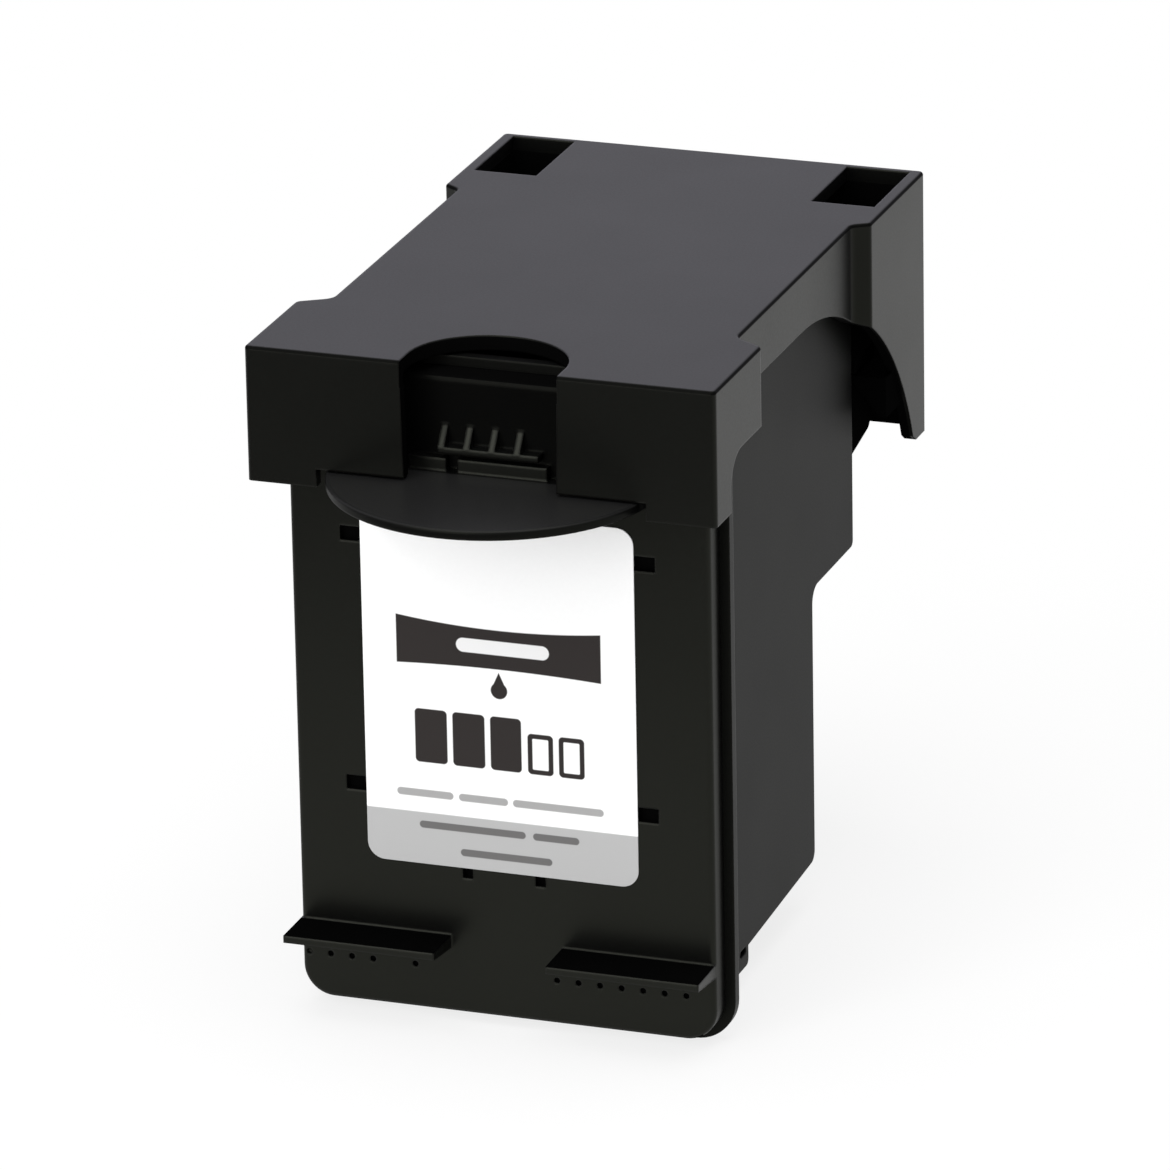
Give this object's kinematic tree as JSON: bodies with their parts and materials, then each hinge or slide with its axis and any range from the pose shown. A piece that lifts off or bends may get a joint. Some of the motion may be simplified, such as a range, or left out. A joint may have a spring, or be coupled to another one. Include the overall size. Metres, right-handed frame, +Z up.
{
  "type": "inkjet ink cartridge",
  "caption": "Inkjet ink cartridge with a built-in printhead, a stepped tank, a labelled lid with a thumb tab, and its push-on protective clip.",
  "frame": {"origin": "on the ground, under the middle of the whole object's box, with the lid upright and the clip's plate level", "axes": "+X to the right of someone facing the label, +Y from the label to the printhead's nose, +Z up to the clip's plate"},
  "size_m": [0.038, 0.0652, 0.0557],
  "materials": {
    "tank_plastic": "fine satin black moulding",
    "lid_plastic": "satin black moulding",
    "clip_plastic": "fine matte black moulding",
    "label_paper": "smooth coated label stock with plain colour fields",
    "ink_foam": "open-cell foam full of black ink",
    "wire_screen": "fine woven wire",
    "adhesive": "cured adhesive",
    "silicon": "polished silicon",
    "nozzle_film": "clear amber film",
    "flex_film": "amber film over copper",
    "gold": "gold plate",
    "encapsulant": "cured black epoxy",
    "tape_film": "pale sealing tape",
    "pad_rubber": "soft rubber"
  },
  "bodies": {
    "root": {"body": "tank_plastic", "lid": "lid_plastic", "label": "label_paper", "foam_block": "ink_foam", "filter_screen": "wire_screen", "die_adhesive": "adhesive", "printhead_die": "silicon", "nozzle_plate": "nozzle_film", "encapsulant_beads": "encapsulant", "flex_circuit": "flex_film", "contact_pads": "gold", "nozzle_tape": "tape_film", "seal_pad": "pad_rubber", "clip": "clip_plastic"}
  },
  "joints": []
}
